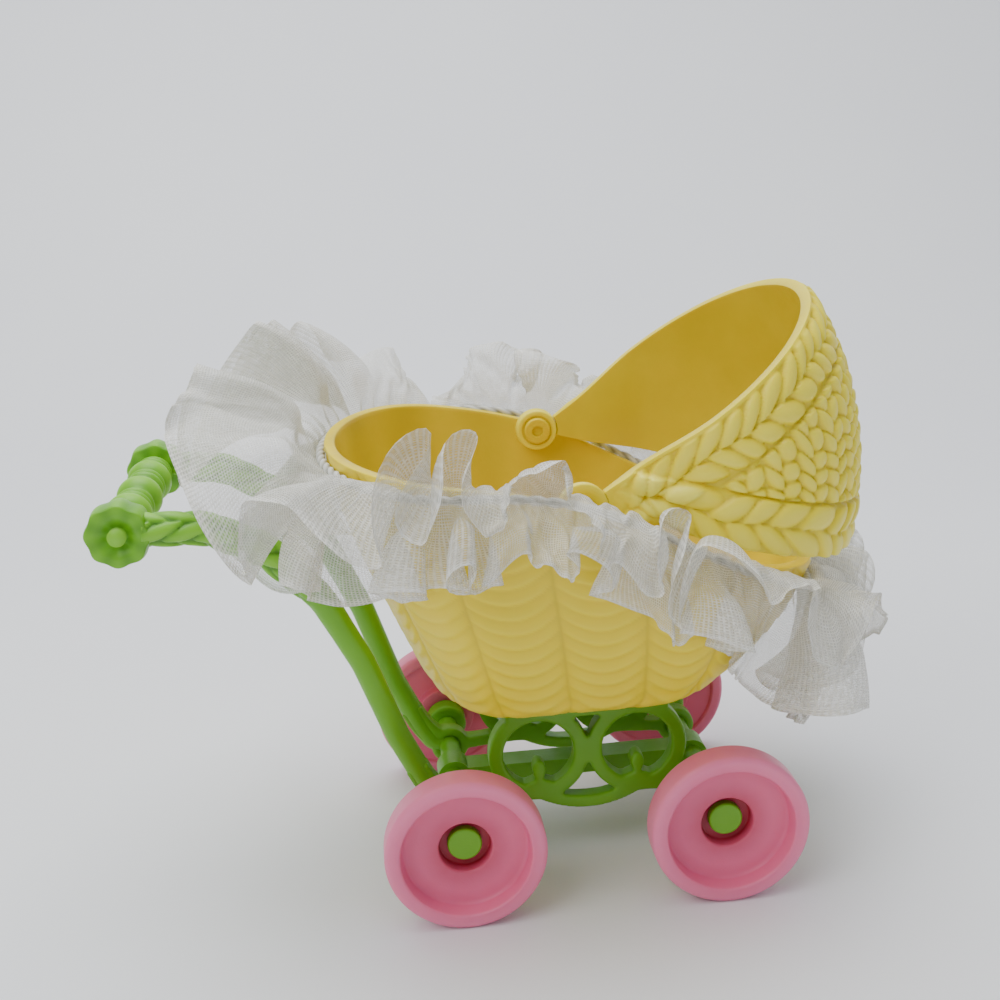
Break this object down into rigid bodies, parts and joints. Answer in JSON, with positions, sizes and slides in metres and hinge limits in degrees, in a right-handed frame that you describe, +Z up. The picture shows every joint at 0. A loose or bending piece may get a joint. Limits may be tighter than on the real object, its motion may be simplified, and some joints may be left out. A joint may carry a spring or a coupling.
{
  "type": "doll stroller",
  "caption": "Small toy pram for a doll: a moulded basket with a turning hood and a gathered net ruffle, on a scrolled frame with dished wheels and a curved push handle.",
  "frame": {"origin": "on the floor, midway between the two axles and on the middle plane", "axes": "+X forward to the hood end, +Y to the stroller's left, +Z up"},
  "size_m": [0.1329, 0.0744, 0.104],
  "materials": {
    "green_plastic": "soft glossy moulded green plastic, slightly translucent",
    "pink_plastic": "soft satin moulded pink plastic",
    "yellow_plastic": "satin moulded yellow plastic with a woven wicker relief outside, smooth inside",
    "pale_yellow_plastic": "satin moulded pale yellow plastic with a leafy woven relief outside, smooth inside",
    "grey_elastic": "thin covered elastic cord, silver grey",
    "white_net": "white see-through organza net with a fine square mesh and raw edges"
  },
  "bodies": {
    "chassis": {"rear_axle": "green_plastic", "rear_left_axle_cap": "green_plastic", "rear_right_axle_cap": "green_plastic", "rear_basket_tie": "green_plastic", "rear_basket_rivet": "green_plastic", "front_axle": "green_plastic", "front_left_axle_cap": "green_plastic", "front_right_axle_cap": "green_plastic", "front_basket_tie": "green_plastic", "front_basket_rivet": "green_plastic", "side_frame_left": "green_plastic", "handle_arm_left": "green_plastic", "hood_pivot_left": "yellow_plastic", "side_frame_right": "green_plastic", "handle_arm_right": "green_plastic", "hood_pivot_right": "yellow_plastic", "centre_stretcher": "green_plastic", "handle_bar": "green_plastic", "basket": "yellow_plastic", "ruffle_elastic": "grey_elastic", "ruffle": "white_net"},
    "hood_body": {"hood": "pale_yellow_plastic"},
    "rear_left_wheel_body": {"rear_left_wheel": "pink_plastic"},
    "rear_right_wheel_body": {"rear_right_wheel": "pink_plastic"},
    "front_left_wheel_body": {"front_left_wheel": "pink_plastic"},
    "front_right_wheel_body": {"front_right_wheel": "pink_plastic"}
  },
  "joints": [
    {"name": "rear_left_wheel_spin", "type": "hinge", "parent": "chassis", "child": "rear_left_wheel_body", "pos_m": [-0.02305, 0, 0.014], "axis": [0, 1, 0], "continuous": true},
    {"name": "rear_right_wheel_spin", "type": "hinge", "parent": "chassis", "child": "rear_right_wheel_body", "pos_m": [-0.02305, 0, 0.014], "axis": [0, 1, 0], "continuous": true},
    {"name": "front_left_wheel_spin", "type": "hinge", "parent": "chassis", "child": "front_left_wheel_body", "pos_m": [0.02305, 0, 0.014], "axis": [0, 1, 0], "continuous": true},
    {"name": "front_right_wheel_spin", "type": "hinge", "parent": "chassis", "child": "front_right_wheel_body", "pos_m": [0.02305, 0, 0.014], "axis": [0, 1, 0], "continuous": true},
    {"name": "hood_hinge", "type": "hinge", "parent": "chassis", "child": "hood_body", "pos_m": [-0.001, 0, 0.0735], "axis": [0, -1, 0], "range_deg": [0, 75]}
  ]
}
